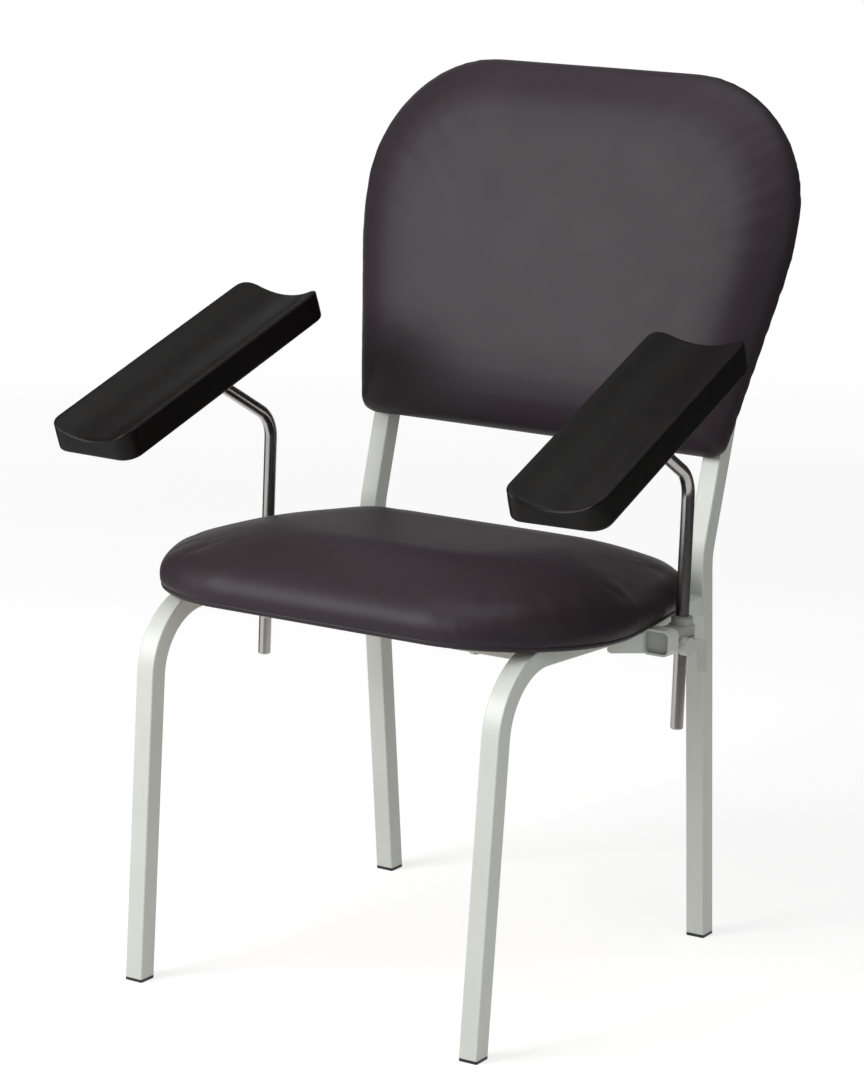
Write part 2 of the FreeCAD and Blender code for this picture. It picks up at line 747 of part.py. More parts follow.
def arm_bracket(name, sign):
    """A rounded sleeve that grips the clamp block, with two webs to the rail."""
    body = new_body(name, arm_frame(sign))
    at = ("0", "(block_top + block_bottom)/2", "block_length")
    outer = new_sketch(body, "XZ", None, at)
    around = "sleeve_gap + sleeve_wall"
    rounded_rectangle(outer, f"2*(block_half_width + {around})", f"block_top - block_bottom + 2*({around})",
                      f"block_corner + {around}")
    pad(body, outer, "sleeve_length", backwards=True)
    rail, sleeve = f"{-sign}*{RAIL_FACE}", f"{-sign}*block_half_width"
    front, back = "-block_length", "(sleeve_length - block_length)"
    webs = [[(rail, f"{front} - gusset_reach"), (sleeve, front), (sleeve, f"{front} + gusset_face"),
             (rail, f"{front} - gusset_reach + gusset_face")],
            [(rail, f"{back} - gusset"), (sleeve, f"{back} - gusset"), (sleeve, back), (rail, back)]]
    for web in webs:
        sketch = closed_lines(new_sketch(body, "XY", None, ("0", "0", "gusset_bottom")), web)
        pad(body, sketch, "gusset_top - gusset_bottom")
    corner = closed_lines(new_sketch(body, "XZ"), [
        (rail + f" - {sign}*overrun", "gusset_bottom - overrun"),
        (rail + f" + {sign}*(gusset_chamfer + overrun)", "gusset_bottom - overrun"),
        (rail + f" - {sign}*overrun", "gusset_bottom + gusset_chamfer + overrun")])
    pocket(body, corner, "4*block_length", symmetric=True)
    inner = new_sketch(body, "XZ", None, at)
    rounded_rectangle(inner, "2*(block_half_width + sleeve_gap)", "block_top - block_bottom + 2*sleeve_gap",
                      "block_corner + sleeve_gap")
    pocket(body, inner, "3*block_length", symmetric=True)


def across(body, station="0"):
    """A sketch square to the clamp's stud, centred on it."""
    return new_sketch(body, "YZ", None, ("-stud_station", "stud_height", station))


def clamp_block(name, sign):
    """Upper half guides the rod, lower half is split and pinched by the stud."""
    body = new_body(name, arm_frame(sign))
    at = ("0", "(block_top + block_bottom)/2", "block_length - block_recess")
    stem = new_sketch(body, "XZ", None, at)
    rounded_rectangle(stem, "2*block_half_width", "block_top - block_bottom", "block_corner")
    pad(body, stem, "block_length - block_recess", backwards=True)
    nose = circle(new_sketch(body, "XY", None, ("0", "0", "block_bottom")), "block_half_width")
    pad(body, nose, "block_top - block_bottom")
    boss = circle(new_sketch(body, "XY", None, ("0", "0", "boss_bottom")), "boss_radius")
    pad(body, boss, "boss_top - boss_bottom")
    bore = circle(new_sketch(body, "XY"), "rod_radius + bush_wall + 2*running_gap")
    pocket(body, bore, "6*boss_top", symmetric=True)
    low = ("0", "0", "boss_bottom - overrun")
    cut = [("-slit/2", "-slit_reach"), ("slit/2", "-slit_reach"), ("slit/2", "0"), ("-slit/2", "0")]
    upright = closed_lines(new_sketch(body, "XY", None, low), cut)
    pocket(body, upright, "slit_height - boss_bottom + overrun + slit/2", backwards=True)
    rear, top = "block_half_width + overrun", "slit_height + slit"
    cut = [("-slit_reach", "slit_height"), (rear, "slit_height"), (rear, top), ("-slit_reach", top)]
    level = closed_lines(new_sketch(body, "YZ"), cut)
    pocket(body, level, "4*block_half_width", symmetric=True)
    relief = new_sketch(body, "YZ", None, ("-slit_reach", "slit_height + slit/2", "0"))
    pocket(body, circle(relief, "relief_radius"), "4*block_half_width", symmetric=True)
    pocket(body, circle(across(body), "stud_radius + stud_gap"), "4*block_half_width", symmetric=True)


def clamp_bush(name, sign):
    """Turns in the block with the rod, which slides in it."""
    body = new_body(name, swung_frame(sign))
    wall = new_sketch(body, "XY", None, ("0", "0", "boss_bottom"))
    circle(wall, "rod_radius + bush_wall + running_gap")
    pad(body, wall, "boss_top - boss_bottom + running_gap")
    flange = circle(new_sketch(body, "XY", None, ("0", "0", "boss_top + running_gap")),
                    "rod_radius + bush_wall + bush_flange_width")
    pad(body, flange, "bush_flange")
    pocket(body, circle(new_sketch(body, "XY"), "rod_radius + running_gap"), "6*boss_top", symmetric=True)


def arm_rod(name, sign):
    """Bent forwards at its top and cut flat where it meets the pad's plate."""
    body = new_body(name, swung_frame(sign))
    turned = math.radians(size("rod_turn"))
    corner = (0, size("rod_above"))
    last = (-math.sin(turned) * size("rod_arm"), corner[1] + math.cos(turned) * size("rod_arm"))
    end = ("-sin(rod_turn)*rod_arm", "rod_above + cos(rod_turn)*rod_arm")
    path = new_sketch(body, "YZ")
    bend_path(path, ("0", "-rod_below"), end, ("90", "90 + rod_turn"), "rod_bend",
              ((0, -size("rod_below")), last, corner))
    section = circle(new_sketch(body, "XY", None, ("0", "0", "-rod_below")), "rod_radius")
    doc.recompute()
    pipe(body, "AdditivePipe", section, path)
    slope = Placement(Vector(), Rotation(AXIS_Z, size("pad_tilt")))
    beyond = new_sketch(body, "YZ", slope, ("-pad_forward", "pad_up", "0"))
    closed_lines(beyond, [("-plate_length", "-plate_thickness"), ("plate_length", "-plate_thickness"),
                          ("plate_length", "2*pad_height"), ("-plate_length", "2*pad_height")])
    pocket(body, beyond, "4*rod_radius", symmetric=True)
    dress(body, "Chamfer", "Size", "rod_chamfer",
          lambda edge: abs(edge.BoundBox.ZMax + size("rod_below")) < size("running_gap"))


def clamp_lever(name, sign):
    """A round hub on the stud and a flat handle that bends down behind it."""
    body = new_body(name, arm_frame(sign))
    inner = f"{sign}*(block_half_width + hub_gap)"
    pad(body, circle(across(body, inner), "hub_radius"), "hub_length", backwards=sign < 0)
    base = across(body, f"{sign}*(block_half_width + hub_gap + hub_length - lever_thickness)")
    half, knee_y, knee_z = "lever_width/2", "lever_knee_y", "lever_knee_z"
    handle = [("0", f"-{half}"), (f"{knee_y} - {half}", f"{knee_z} - {half}"),
              (f"lever_tip_y - {half}", "lever_tip_z"), (f"lever_tip_y + {half}", "lever_tip_z"),
              (f"{knee_y} + {half}", f"{knee_z} + {half}"), ("0", f"1.5*{half}")]
    pad(body, closed_lines(base, handle), "lever_thickness", backwards=sign < 0)
    hole = circle(across(body, inner), "stud_radius + running_gap")
    pocket(body, hole, "hub_length - stud_tail + hub_gap", backwards=sign > 0)
    clear = size("hub_radius") + size("overrun") - size("stud_station")

    def outer_knee(edge):
        return edge.Vertexes[0].Z > size("stud_height") and edge.Vertexes[0].Y > clear

    round_edges(body, "lever_width", lambda edge: runs_along(edge, AXIS_X) and outer_knee(edge))
    round_edges(body, "lever_width/3", lambda edge: runs_along(edge, AXIS_X)
                and edge.Vertexes[0].Y > clear and edge.Vertexes[0].Z < size("stud_height"))


def clamp_stud(name, sign):
    body = new_body(name, arm_frame(sign))
    first = f"{-sign}*(block_half_width + nut_thickness + stud_tail)"
    bar = circle(across(body, first), "stud_radius")
    pad(body, bar, "2*block_half_width + hub_gap + hub_length + nut_thickness", backwards=sign < 0)


def clamp_nut(name, sign):
    body = new_body(name, arm_frame(sign))
    face, corner = f"{-sign}*block_half_width", "nut_half_flats/cos(30)"
    ring = [(f"{corner}*cos({angle})", f"{corner}*sin({angle})") for angle in range(0, 360, 60)]
    pad(body, closed_lines(across(body, face), ring), "nut_thickness", backwards=sign > 0)
    hole = circle(across(body, face), "stud_radius + running_gap")
    pocket(body, hole, "4*nut_thickness", symmetric=True)


def screw_corners():
    half_x, half_y = "(plate_width/2 - arm_screw_inset)", "(plate_length/2 - arm_screw_inset)"
    return [(f"{x}*{half_x}", f"plate_back + {y}*{half_y}") for x in (-1, 1) for y in (-1, 1)]


def arm_plate(name, sign):
    body = new_body(name, pad_frame(sign))
    flat = rounded_rectangle(new_sketch(body, "XY", None, ("0", "plate_back", "-plate_thickness")),
                             "plate_width", "plate_length", "plate_corner")
    pad(body, flat, "plate_thickness")
    holes = circles(new_sketch(body, "XY"), screw_corners(), "arm_screw_radius + arm_screw_gap")
    pocket(body, holes, "4*plate_thickness", symmetric=True)


def arm_board(name, sign):
    body = new_body(name, pad_frame(sign))
    flat = rounded_rectangle(new_sketch(body, "XY"), "pad_width - 2*arm_board_inset",
                             "pad_length - 2*arm_board_inset", "pad_corner - arm_board_inset")
    pad(body, flat, "board_thickness")
    holes = circles(new_sketch(body, "XY"), screw_corners(), "arm_screw_radius + arm_screw_gap")
    pocket(body, holes, "2*arm_screw_length", symmetric=True)


def arm_pad(name, sign):
    """Moulded over its board, with a trough for the forearm along its top."""
    body = new_body(name, pad_frame(sign))
    flat = rounded_rectangle(new_sketch(body, "XY"), "pad_width", "pad_length", "pad_corner")
    pad(body, flat, "pad_height")
    rim = "(trough_width*trough_width/4 + trough_depth*trough_depth)/(2*trough_depth)"
    trough = circle(new_sketch(body, "XZ", None, ("0", f"pad_height - trough_depth + {rim}", "0")), rim)
    pocket(body, trough, "2*pad_length", symmetric=True)
    rim_level = size("pad_height") - size("trough_depth") - size("running_gap")
    round_edges(body, "pad_edge", lambda edge: all(corner.Z > rim_level for corner in edge.Vertexes)
                and not runs_along(edge, AXIS_Z))
    around = "2*(arm_board_inset - soft_gap)"
    cavity = rounded_rectangle(new_sketch(body, "XY"), f"pad_width - {around}", f"pad_length - {around}",
                               "pad_corner - arm_board_inset + soft_gap")
    pocket(body, cavity, "2*(board_thickness + soft_gap)", symmetric=True)


def arm_screws(name, sign):
    half_x = size("plate_width") / 2 - size("arm_screw_inset")
    half_y = size("plate_length") / 2 - size("arm_screw_inset")
    one = screw(size("arm_screw_radius"), size("arm_screw_length") + size("plate_thickness"),
                size("arm_screw_head"), size("arm_screw_head_height"))
    places = [pad_frame(sign) * shift(x, size("plate_back") + y, -size("plate_thickness"))
              for x in (-half_x, half_x) for y in (-half_y, half_y)]
    group(name, one, places)


# The chair

for side, sign in SIDES:
    side_tube("side_tube_" + side, sign)
    rear_upright("rear_upright_" + side, sign)
    upright_plug("upright_plug_" + side, sign)
    foot_insert("foot_front_" + side, sign, -1, "front_rake")
    foot_insert("foot_rear_" + side, sign, 1, "rear_rake")
for end in CROSS_PLACES:
    cross_tube("cross_tube_" + end, end)

seat_board("seat_board")
padded("seat_cushion", seat_frame(), seat_outline, seat_depth() * size("seat_shoulder_share"),
       size("seat_thickness"), SEAT_SHARES, seat_level())
shank, head = size("screw_radius"), (size("head_radius"), size("head_height"))
nut_level = seat_level() + size("board_thickness")
group("seat_screws", screw(shank, nut_level, *head), seat_places(0))
group("seat_tee_nuts", tee_nut(), seat_places(nut_level))

back_board("back_board")
padded("back_cushion", back_frame(), back_outline, size("back_shoulder"),
       size("back_thickness"), BACK_SHARES, back_level())
nut_level = back_level() + size("board_thickness")
group("back_screws", screw(shank, size("tube_side") / 2 + nut_level, *head), back_places())
group("back_tee_nuts", tee_nut(), back_places(nut_level))

for side, sign in SIDES:
    arm_bracket("arm_bracket_" + side, sign)
    clamp_block("clamp_block_" + side, sign)
    clamp_nut("clamp_nut_" + side, sign)
    clamp_stud("clamp_stud_" + side, sign)
    clamp_lever("clamp_lever_" + side, sign)
    clamp_bush("clamp_bush_" + side, sign)
    arm_rod("arm_rod_" + side, sign)
    arm_plate("arm_plate_" + side, sign)
    arm_board("arm_board_" + side, sign)
    arm_pad("arm_pad_" + side, sign)
    arm_screws("arm_screws_" + side, sign)

doc.recompute()
for item in doc.Objects:
    if {"Invalid", "Error"} & set(item.State):
        raise RuntimeError(f"{item.Name} failed: {item.State}")
for item in parts:
    if item.Shape.isNull() or not item.Shape.isValid():
        raise RuntimeError(f"{item.Label} has no valid shape")

os.makedirs("parts", exist_ok=True)
for item in parts:
    item.Shape.exportStep(f"parts/{item.Label}.step")
    print(f"{item.Label} solids {len(item.Shape.Solids)} volume {item.Shape.Volume:.0f}")
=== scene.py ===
import json
import math

import bmesh
import bpy
import numpy as np
from mathutils import Matrix, Vector, geometry, noise
from mathutils.bvhtree import BVHTree


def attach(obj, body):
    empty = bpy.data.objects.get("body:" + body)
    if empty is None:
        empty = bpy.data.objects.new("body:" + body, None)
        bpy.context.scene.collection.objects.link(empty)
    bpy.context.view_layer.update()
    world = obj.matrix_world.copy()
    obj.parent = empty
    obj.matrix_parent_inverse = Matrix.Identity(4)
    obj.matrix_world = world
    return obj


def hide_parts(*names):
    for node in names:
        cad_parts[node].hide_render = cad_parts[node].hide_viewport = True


# Looks of a phlebotomy chair with two swinging arm rests, in metres.
# The chair faces -Y, Z is up and left is -X, as seen by someone who faces it.

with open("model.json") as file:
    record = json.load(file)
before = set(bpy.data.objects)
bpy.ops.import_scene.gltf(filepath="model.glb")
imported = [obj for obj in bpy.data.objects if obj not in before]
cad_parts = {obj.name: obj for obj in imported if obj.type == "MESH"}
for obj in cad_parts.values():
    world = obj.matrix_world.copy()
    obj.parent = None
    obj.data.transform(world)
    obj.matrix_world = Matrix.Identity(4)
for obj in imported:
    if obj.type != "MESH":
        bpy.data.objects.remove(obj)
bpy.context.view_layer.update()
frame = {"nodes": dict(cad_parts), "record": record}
NODES = frame["nodes"]
SIDES = ("left", "right")
MM = 0.001


# Camera: the photograph's viewing angle

CAMERA_AZIMUTH = 33.409
CAMERA_ELEVATION = 13.171
CAMERA_ROLL = 0.472
CAMERA_DISTANCE = 4.6112
CAMERA_TARGET = Vector((0.00305, -0.0539, 0.53024))
SENSOR_WIDTH = 36.0
FOCAL_LENGTH = 127.266


def direction(azimuth, elevation):
    """From the object towards a place round it. Azimuth 0 is in front, 90 is at +X."""
    turn, rise = math.radians(azimuth), math.radians(elevation)
    return Vector((math.sin(turn) * math.cos(rise), -math.cos(turn) * math.cos(rise), math.sin(rise)))


def add_camera():
    camera = bpy.data.objects.new("camera", bpy.data.cameras.new("camera"))
    camera.data.sensor_width = SENSOR_WIDTH
    camera.data.lens = FOCAL_LENGTH
    back = direction(CAMERA_AZIMUTH, CAMERA_ELEVATION)
    level = Vector((0, 0, 1)).cross(back).normalized()
    above = back.cross(level)
    roll = math.radians(CAMERA_ROLL)
    right = level * math.cos(roll) + above * math.sin(roll)
    above = back.cross(right)
    place = Matrix((right, above, back)).transposed().to_4x4()
    place.translation = CAMERA_TARGET + back * CAMERA_DISTANCE
    camera.matrix_world = place
    bpy.context.scene.collection.objects.link(camera)
    bpy.context.scene.camera = camera


# Materials

def srgb(*levels):
    """A colour as it shows on screen, from 0 to 255, as the linear values a shader takes."""
    linear = [(x / 255 / 12.92) if x <= 10 else ((x / 255 + 0.055) / 1.055) ** 2.4 for x in levels]
    return (*linear, 1.0)


class Finish:
    """A Principled material whose textures follow the object's own coordinates."""

    def __init__(self, name, metallic=0.0, specular=0.5):
        self.material = bpy.data.materials.new(name)
        self.material.use_nodes = True
        tree = self.material.node_tree
        self.nodes, self.links = tree.nodes, tree.links
        self.shader = self.nodes["Principled BSDF"]
        self.shader.inputs["Metallic"].default_value = metallic
        self.shader.inputs["Specular IOR Level"].default_value = specular
        self.place = self.nodes.new("ShaderNodeTexCoord").outputs["Object"]
        self.normal = None

    def stretched(self, scale):
        """The object's coordinates, scaled along each axis."""
        mapping = self.nodes.new("ShaderNodeMapping")
        mapping.inputs["Scale"].default_value = scale
        self.links.new(self.place, mapping.inputs["Vector"])
        return mapping.outputs["Vector"]

    def noise(self, size, detail=2.0, distortion=0.0, vector=None):
        """Noise whose features are about this size, in metres."""
        texture = self.nodes.new("ShaderNodeTexNoise")
        texture.inputs["Scale"].default_value = 1 / size
        texture.inputs["Detail"].default_value = detail
        texture.inputs["Distortion"].default_value = distortion
        self.links.new(vector or self.place, texture.inputs["Vector"])
        return texture.outputs["Fac"]

    def cells(self, size):
        """Rounded cells about this size, in metres."""
        texture = self.nodes.new("ShaderNodeTexVoronoi")
        texture.feature = "SMOOTH_F1"
        texture.inputs["Scale"].default_value = 1 / size
        texture.inputs["Smoothness"].default_value = 0.5
        self.links.new(self.place, texture.inputs["Vector"])
        return texture.outputs["Distance"]

    def colour(self, factor, *stops):
        """The base colour along a factor: each stop is a position and its colour."""
        ramp = self.nodes.new("ShaderNodeValToRGB")
        elements = ramp.color_ramp.elements
        while len(elements) < len(stops):
            elements.new(0.5)
        for element, (position, colour) in zip(elements, stops):
            element.position = position
            element.color = colour
        self.links.new(factor, ramp.inputs["Fac"])
        self.links.new(ramp.outputs["Color"], self.shader.inputs["Base Color"])
        return self

    def roughness(self, factor, low, high):
        """Roughness from low to high along a factor."""
        spread = self.nodes.new("ShaderNodeMapRange")
        spread.inputs["To Min"].default_value = low
        spread.inputs["To Max"].default_value = high
        self.links.new(factor, spread.inputs["Value"])
        self.links.new(spread.outputs["Result"], self.shader.inputs["Roughness"])
        return self

    def bump(self, height, depth, strength):
        """Adds a relief of this depth, in metres, over any that is there."""
        relief = self.nodes.new("ShaderNodeBump")
        relief.inputs["Distance"].default_value = depth
        relief.inputs["Strength"].default_value = strength
        self.links.new(height, relief.inputs["Height"])
        if self.normal:
            self.links.new(self.normal, relief.inputs["Normal"])
        self.normal = relief.outputs["Normal"]
        self.links.new(self.normal, self.shader.inputs["Normal"])
        return self


def paint(name, low, high):
    """Powder coat: an even colour with a fine orange peel."""
    finish = Finish(name)
    finish.colour(finish.noise(120 * MM, 3), (0.3, srgb(*low)), (0.7, srgb(*high)))
    finish.roughness(finish.noise(30 * MM, 3), 0.3, 0.4)
    finish.bump(finish.noise(6 * MM, 1), 0.06 * MM, 0.5)
    return finish.bump(finish.noise(1.1 * MM, 2), 0.02 * MM, 0.5).material


def vinyl(name, low, high, grain=0.9 * MM):
    """Coated fabric: satin, with a small rounded leather grain and a soft stretch."""
    finish = Finish(name, specular=0.18)
    finish.colour(finish.noise(160 * MM, 3), (0.3, srgb(*low)), (0.7, srgb(*high)))
    finish.roughness(finish.noise(50 * MM, 3), 0.44, 0.49)
    finish.bump(finish.noise(grain * 3, 2), 0.06 * MM, 0.3)
    return finish.bump(finish.cells(grain), 0.04 * MM, 0.35).material


def foam(name, low, high):
    """Integral skin foam: matt satin, with faint mottling and fine pores."""
    finish = Finish(name, specular=0.12)
    finish.colour(finish.noise(25 * MM, 4), (0.35, srgb(*low)), (0.65, srgb(*high)))
    finish.roughness(finish.noise(12 * MM, 4), 0.34, 0.42)
    finish.bump(finish.noise(14 * MM, 2), 0.08 * MM, 0.3)
    return finish.bump(finish.cells(0.8 * MM), 0.04 * MM, 0.4).material


def chrome(name, dark, bright):
    """Plated steel rod, drawn along its length."""
    finish = Finish(name, metallic=1.0)
    drawn = finish.stretched((1, 1, 0.03))
    finish.colour(finish.noise(4 * MM, 3, vector=drawn), (0.2, srgb(*dark)), (0.8, srgb(*bright)))
    finish.roughness(finish.noise(2 * MM, 3, vector=drawn), 0.2, 0.28)
    return finish.bump(finish.noise(0.9 * MM, 2, vector=drawn), 0.01 * MM, 0.4).material


def casting(name, low, high):
    """Painted casting: satin, with a slightly uneven skin."""
    finish = Finish(name)
    finish.colour(finish.noise(30 * MM, 4), (0.3, srgb(*low)), (0.7, srgb(*high)))
    finish.roughness(finish.noise(10 * MM, 3), 0.34, 0.46)
    return finish.bump(finish.noise(1.8 * MM, 3), 0.08 * MM, 0.4).material


def zinc(name, dark, bright):
    """Zinc plated steel, with a faint spangle."""
    finish = Finish(name, metallic=1.0)
    finish.colour(finish.cells(4 * MM), (0.1, srgb(*dark)), (0.7, srgb(*bright)))
    finish.roughness(finish.noise(3 * MM, 3), 0.24, 0.36)
    return finish.bump(finish.noise(0.8 * MM, 2), 0.03 * MM, 0.4).material


def plywood(name, dark, middle, pale):
    """Birch face veneer: long grain with darker pores."""
    finish = Finish(name, specular=0.3)
    along = finish.stretched((1, 0.06, 1))
    grain = finish.noise(14 * MM, 4, distortion=0.8, vector=along)
    finish.colour(grain, (0.3, srgb(*dark)), (0.5, srgb(*middle)), (0.7, srgb(*pale)))
    finish.roughness(finish.noise(6 * MM, 3, vector=along), 0.6, 0.75)
    return finish.bump(finish.noise(1.2 * MM, 3, vector=along), 0.1 * MM, 0.5).material


def plastic(name, level):
    """Moulded plastic with a fine spark grain."""
    finish = Finish(name, specular=0.4)
    finish.colour(finish.noise(10 * MM, 3), (0.3, srgb(*[level] * 3)), (0.7, srgb(*[level + 5] * 3)))
    finish.roughness(finish.noise(6 * MM, 2), 0.42, 0.55)
    return finish.bump(finish.cells(0.7 * MM), 0.05 * MM, 0.4).material


FINISHES = {
    "frame_paint": paint("powder_coat", (197, 200, 193), (203, 206, 199)),
    "clamp_grey": casting("cast_clamp", (158, 160, 153), (166, 168, 161)),
    "lever_grey": casting("cast_lever", (186, 187, 180), (194, 195, 188)),
    "rod_chrome": chrome("plated_rod", (158, 156, 153), (178, 176, 172)),
    "zinc_steel": zinc("zinc_plate", (168, 171, 176), (196, 198, 200)),
    "board_wood": plywood("birch_plywood", (176, 143, 104), (196, 166, 126), (209, 183, 145)),
    "back_panel": vinyl("rear_panel", (31, 28, 30), (35, 31, 34), 1.4 * MM),
    "vinyl": vinyl("dark_vinyl", (43, 36, 40), (47, 40, 44)),
    "arm_foam": foam("moulded_foam", (17, 15, 15), (21, 19, 18)),
    "black_plastic": plastic("black_plastic", 30),
    "bush_plastic": plastic("bush_plastic", 138),
    "foot_plastic": plastic("foot_plastic", 26),
}


def finished(piece, slot):
    """The piece with the finish of a slot in the record."""
    piece.data.materials.clear()
    piece.data.materials.append(FINISHES[slot])
    return piece


def dress_cad():
    """Each node of the frame gets the finish of its slot in the record."""
    for part in frame["record"]["subparts"]:
        node = NODES[part["node"]]
        finished(node, part["material_slot"])


# Meshes

RECOIL = 1.03
SAME_POINT = 0.01 * MM


def linked(name, mesh):
    piece = bpy.data.objects.new(name, mesh)
    bpy.context.scene.collection.objects.link(piece)
    return piece


def applied(piece):
    """The piece with its modifiers made real."""
    graph = bpy.context.evaluated_depsgraph_get()
    mesh = bpy.data.meshes.new_from_object(piece.evaluated_get(graph))
    piece.modifiers.clear()
    piece.data = mesh
    return piece


def coordinates(mesh):
    values = np.empty(len(mesh.vertices) * 3, np.float32)
    mesh.vertices.foreach_get("co", values)
    return values.reshape(-1, 3).astype(float)


def place_points(mesh, points):
    mesh.vertices.foreach_set("co", points.astype(np.float32).ravel())
    mesh.update()


def normals(mesh):
    return np.array([vector.vector[:] for vector in mesh.vertex_normals])


def plate_frame(node):
    """A flat plate's centre, its axes as columns (Z out of the upper or front face) and its half sizes."""
    points = coordinates(NODES[node].data)
    axes = np.linalg.eigh(np.cov(points.T))[1].T
    upward = axes[0] * np.sign(axes[0] @ (0, -1, 1))
    across = max(axes[1:], key=lambda axis: abs(axis[0]))
    across = across * np.sign(across[0])
    turned = np.column_stack([across, np.cross(upward, across), upward])
    local = points @ turned
    low, high = local.min(axis=0), local.max(axis=0)
    return turned @ (low + high) / 2, turned, (high - low) / 2


def smoothed(points, edges, weight, rounds, recoil=RECOIL):
    """Points moved towards their neighbours' mean and most of the way back, so that forms keep their size."""
    first, second = edges[:, 0], edges[:, 1]
    count = np.bincount(edges.ravel(), minlength=len(points))[:, None]
    for _ in range(rounds):
        for pull in (1, -recoil):
            total = np.empty_like(points)
            for axis in range(points.shape[1]):
                total[:, axis] = (np.bincount(first, points[second, axis], len(points))
                                  + np.bincount(second, points[first, axis], len(points)))
            points = points + (pull * weight)[:, None] * (total / count - points)
    return points


def mesh_edges(mesh):
    pairs = np.empty(len(mesh.edges) * 2, np.int32)
    mesh.edges.foreach_get("vertices", pairs)
    return pairs.reshape(-1, 2)


def eased(value, low, high):
    """0 at low, 1 at high, with a soft start and end."""
    share = np.clip((value - low) / (high - low), 0, 1)
    return share * share * (3 - 2 * share)


def unit(rows):
    return rows / np.linalg.norm(rows, axis=1)[:, None]


def resampled(points, spacing):
    """Evenly spaced points on a path, and how far along it each one is."""
    reach = np.concatenate([[0], np.cumsum(np.linalg.norm(np.diff(points, axis=0), axis=1))])
    stations = np.linspace(0, reach[-1], round(reach[-1] / spacing) + 1)
    return np.column_stack([np.interp(stations, reach, column) for column in points.T]), stations


def rings_round(path, along, normal, radii, sides):
    """Rings round a path that lies square to the normal."""
    turns = np.linspace(0, 2 * math.pi, sides, endpoint=False)
    return [point + radius * (np.cos(turns)[:, None] * normal + np.sin(turns)[:, None] * side)
            for point, side, radius in zip(path, np.cross(along, normal), radii)]


def ringed_mesh(name, rings):
    """Faces between rings of equally many points, closed where a ring folds on itself."""
    points = np.concatenate(rings)
    around = len(rings[0])
    faces = []
    for row in range(len(rings) - 1):
        for column in range(around):
            after = (column + 1) % around
            faces.append((row * around + column, row * around + after,
                          (row + 1) * around + after, (row + 1) * around + column))
    mesh = bpy.data.meshes.new(name)
    mesh.from_pydata([tuple(point) for point in points], [], faces)
    made = bmesh.new()
    made.from_mesh(mesh)
    bmesh.ops.remove_doubles(made, verts=made.verts, dist=SAME_POINT)
    bmesh.ops.recalc_face_normals(made, faces=made.faces)
    made.to_mesh(mesh)
    made.free()
    return mesh


def subdivided(piece):
    """The piece with one subdivision made real."""
    piece.data.shade_smooth()
    finer = piece.modifiers.new("finer", "SUBSURF")
    finer.levels = finer.render_levels = 1
    applied(piece).data.shade_smooth()


def join_meshes(name, meshes, slot, body):
    """One piece of many meshes, on one body."""
    made = bmesh.new()
    for mesh in meshes:
        made.from_mesh(mesh)
    whole = bpy.data.meshes.new(name)
    made.to_mesh(whole)
    made.free()
    piece = linked(name, whole)
    whole.shade_smooth()
    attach(finished(piece, slot), body)


# Cushions: vinyl over foam, with the fine creases of a cloth simulation

VOXEL = 5 * MM
SWELL_FRAMES = 20
PRESSURE = 4.0
CLOTH_QUALITY = 5
BENDING_STIFFNESS = 2.0
SHRINK = 3 * MM
CREASE = 0.25
CREASE_LIMIT = 0.7 * MM
PULL = 0.5
EVEN_ROUNDS = 60
SPREAD_ROUNDS = 120
SPREAD_HEIGHT = (14 * MM, 40 * MM)
LAST_ROUNDS = 8
HEM_HEIGHT = 24 * MM
CAVITY_MARGIN = 6 * MM
FACING_BACK = -0.4
FACING_MIDDLE = -0.3
RELIEF = 0.5 * MM
RELIEF_SPREAD = 110 * MM


def pressed_out(piece, held):
    """Runs cloth with pressure inside it and returns where the points end."""
    group = piece.vertex_groups.new(name="held")
    for index, weight in enumerate(held):
        group.add([index], float(weight), "REPLACE")
    cloth = piece.modifiers.new("cloth", "CLOTH")
    settings = cloth.settings
    settings.quality = CLOTH_QUALITY
    settings.use_pressure = True
    settings.uniform_pressure_force = PRESSURE
    settings.vertex_group_mass = group.name
    settings.effector_weights.gravity = 0
    settings.bending_stiffness = BENDING_STIFFNESS
    cloth.point_cache.frame_start = 1
    cloth.point_cache.frame_end = SWELL_FRAMES
    scene = bpy.context.scene
    for step in range(1, SWELL_FRAMES + 1):
        scene.frame_set(step)
    graph = bpy.context.evaluated_depsgraph_get()
    points = coordinates(piece.evaluated_get(graph).data)
    piece.modifiers.clear()
    scene.frame_set(1)
    return points


def creases(piece, edges, start, free):
    """How far the simulation moves each point, without the wide swell, along its normal."""
    outside = normals(piece.data)
    shrunk = start - outside * (SHRINK * free)[:, None]
    place_points(piece.data, shrunk)
    moved = np.einsum("ij,ij->i", pressed_out(piece, 1 - free) - shrunk, outside)
    swell = smoothed(moved[:, None], edges, np.full(len(moved), PULL), EVEN_ROUNDS, recoil=0)[:, 0]
    crease = CREASE_LIMIT * np.tanh(CREASE * (moved - swell) / CREASE_LIMIT)
    return outside * (crease * free)[:, None]


